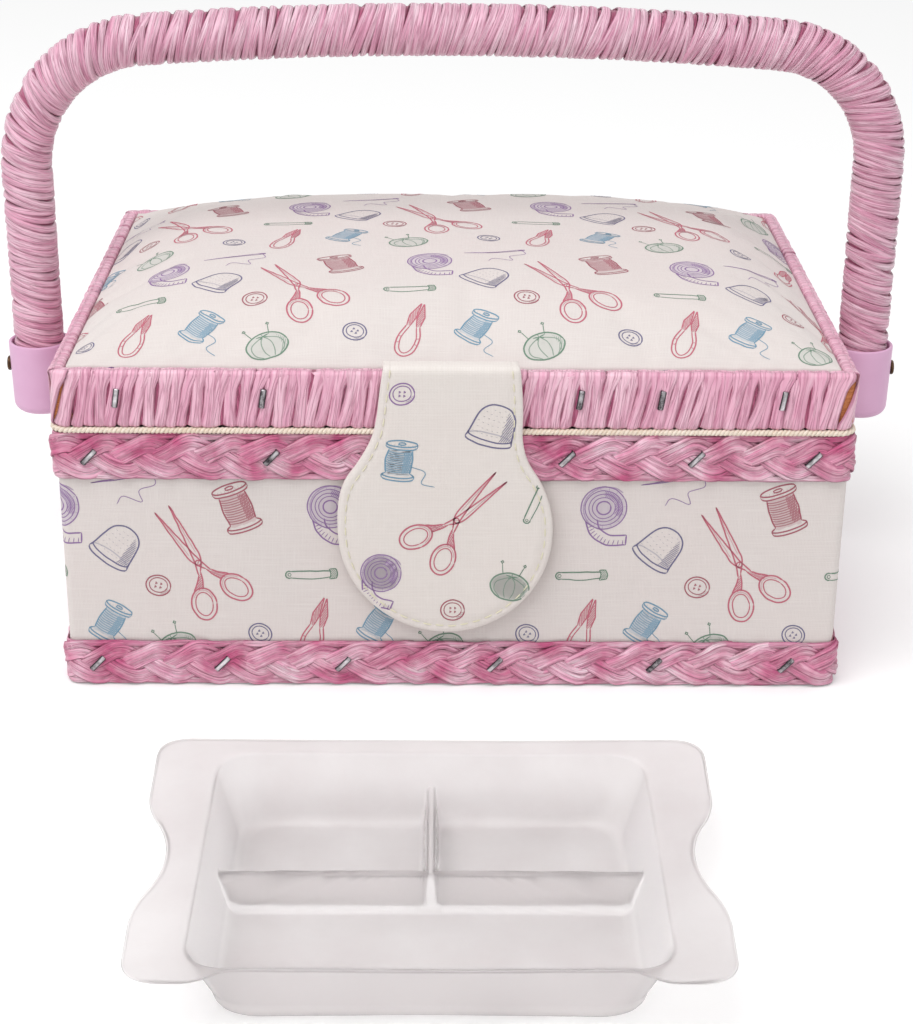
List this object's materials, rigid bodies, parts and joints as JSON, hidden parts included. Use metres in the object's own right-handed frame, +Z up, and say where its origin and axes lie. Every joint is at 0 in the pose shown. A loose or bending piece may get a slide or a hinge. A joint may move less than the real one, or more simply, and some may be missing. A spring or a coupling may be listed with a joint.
{
  "type": "sewing basket",
  "caption": "Small cloth-covered sewing basket with a padded hinged lid, closing tab, raffia-wrapped folding handle and a lift-out tray.",
  "frame": {"origin": "centre of the box's flat underside, where it rests on the table", "axes": "+Z up, +X to the right seen from the front, the front with the tab and the tray faces -Y"},
  "size_m": [0.3168, 0.3772, 0.2002],
  "materials": {
    "printed_cloth": "fine plain-weave cotton with a small sewing print",
    "plain_cloth": "plain cream cotton",
    "fibreboard": "bare tan fibreboard",
    "raffia": "satin pink paper raffia, wound side by side",
    "braided_raffia": "satin pink paper raffia, three-strand flat braid",
    "staple_wire": "flat steel wire",
    "foam": "soft polyurethane foam",
    "cream_cord": "twisted cotton cord",
    "thread": "cream sewing thread",
    "stiffener_card": "thin card",
    "closure_steel": "nickel-plated, satin",
    "lilac_plastic": "smooth moulded plastic, slight gloss",
    "bronzed_steel": "dark bronzed steel",
    "cane": "peeled bent cane",
    "frosted_plastic": "thin frosted thermoformed sheet, translucent"
  },
  "bodies": {
    "basket": {"outer_cloth": "printed_cloth", "base_cloth": "plain_cloth", "lining_front": "plain_cloth", "lining_back": "plain_cloth", "lining_left": "plain_cloth", "lining_right": "plain_cloth", "lining_floor": "plain_cloth", "hinge_leaf_body": "plain_cloth", "bottom_board": "fibreboard", "front_board": "fibreboard", "back_board": "fibreboard", "left_board": "fibreboard", "right_board": "fibreboard", "upper_braid": "braided_raffia", "lower_braid": "braided_raffia", "braid_staples": "staple_wire", "closure_stud": "closure_steel", "left_spacer": "lilac_plastic", "right_spacer": "lilac_plastic", "left_pivot_screw": "bronzed_steel", "right_pivot_screw": "bronzed_steel", "left_pivot_nut": "bronzed_steel", "right_pivot_nut": "bronzed_steel"},
    "lid": {"lid_panel": "fibreboard", "rim_board_front": "fibreboard", "rim_board_back": "fibreboard", "rim_board_left": "fibreboard", "rim_board_right": "fibreboard", "rim_wrap": "raffia", "lid_foam": "foam", "lid_cloth": "printed_cloth", "lid_lining": "plain_cloth", "lid_cord": "cream_cord", "rim_staples": "staple_wire", "hinge_leaf_lid": "plain_cloth", "tab_root": "printed_cloth"},
    "tab": {"tab_front_cloth": "printed_cloth", "tab_stiffener": "stiffener_card", "tab_back_cloth": "plain_cloth", "tab_stitching": "thread", "tab_magnet": "closure_steel"},
    "handle": {"handle_core": "cane", "handle_wrap": "raffia", "left_socket": "lilac_plastic", "right_socket": "lilac_plastic"},
    "tray": {"tray": "frosted_plastic"}
  },
  "joints": [
    {"name": "lid_hinge", "type": "hinge", "parent": "basket", "child": "lid", "pos_m": [0, 0.093, 0.0889], "axis": [-1, 0, 0], "range_deg": [0, 95]},
    {"name": "handle_fold", "type": "hinge", "parent": "basket", "child": "handle", "pos_m": [0, 0.016, 0.0722], "axis": [-1, 0, 0], "range_deg": [0, 119]},
    {"name": "tab_flap", "type": "hinge", "parent": "lid", "child": "tab", "pos_m": [-0.002, -0.093, 0.1108], "axis": [-1, 0, 0], "range_deg": [0, 160]},
    {"name": "tray_lift", "type": "slide", "parent": "basket", "child": "tray", "axis": [0, 0, 1], "range_m": [0, 0.12]}
  ],
  "couplings": [
    {"joint": "handle_fold", "follows": "lid_hinge", "ratio": 1.25}
  ]
}
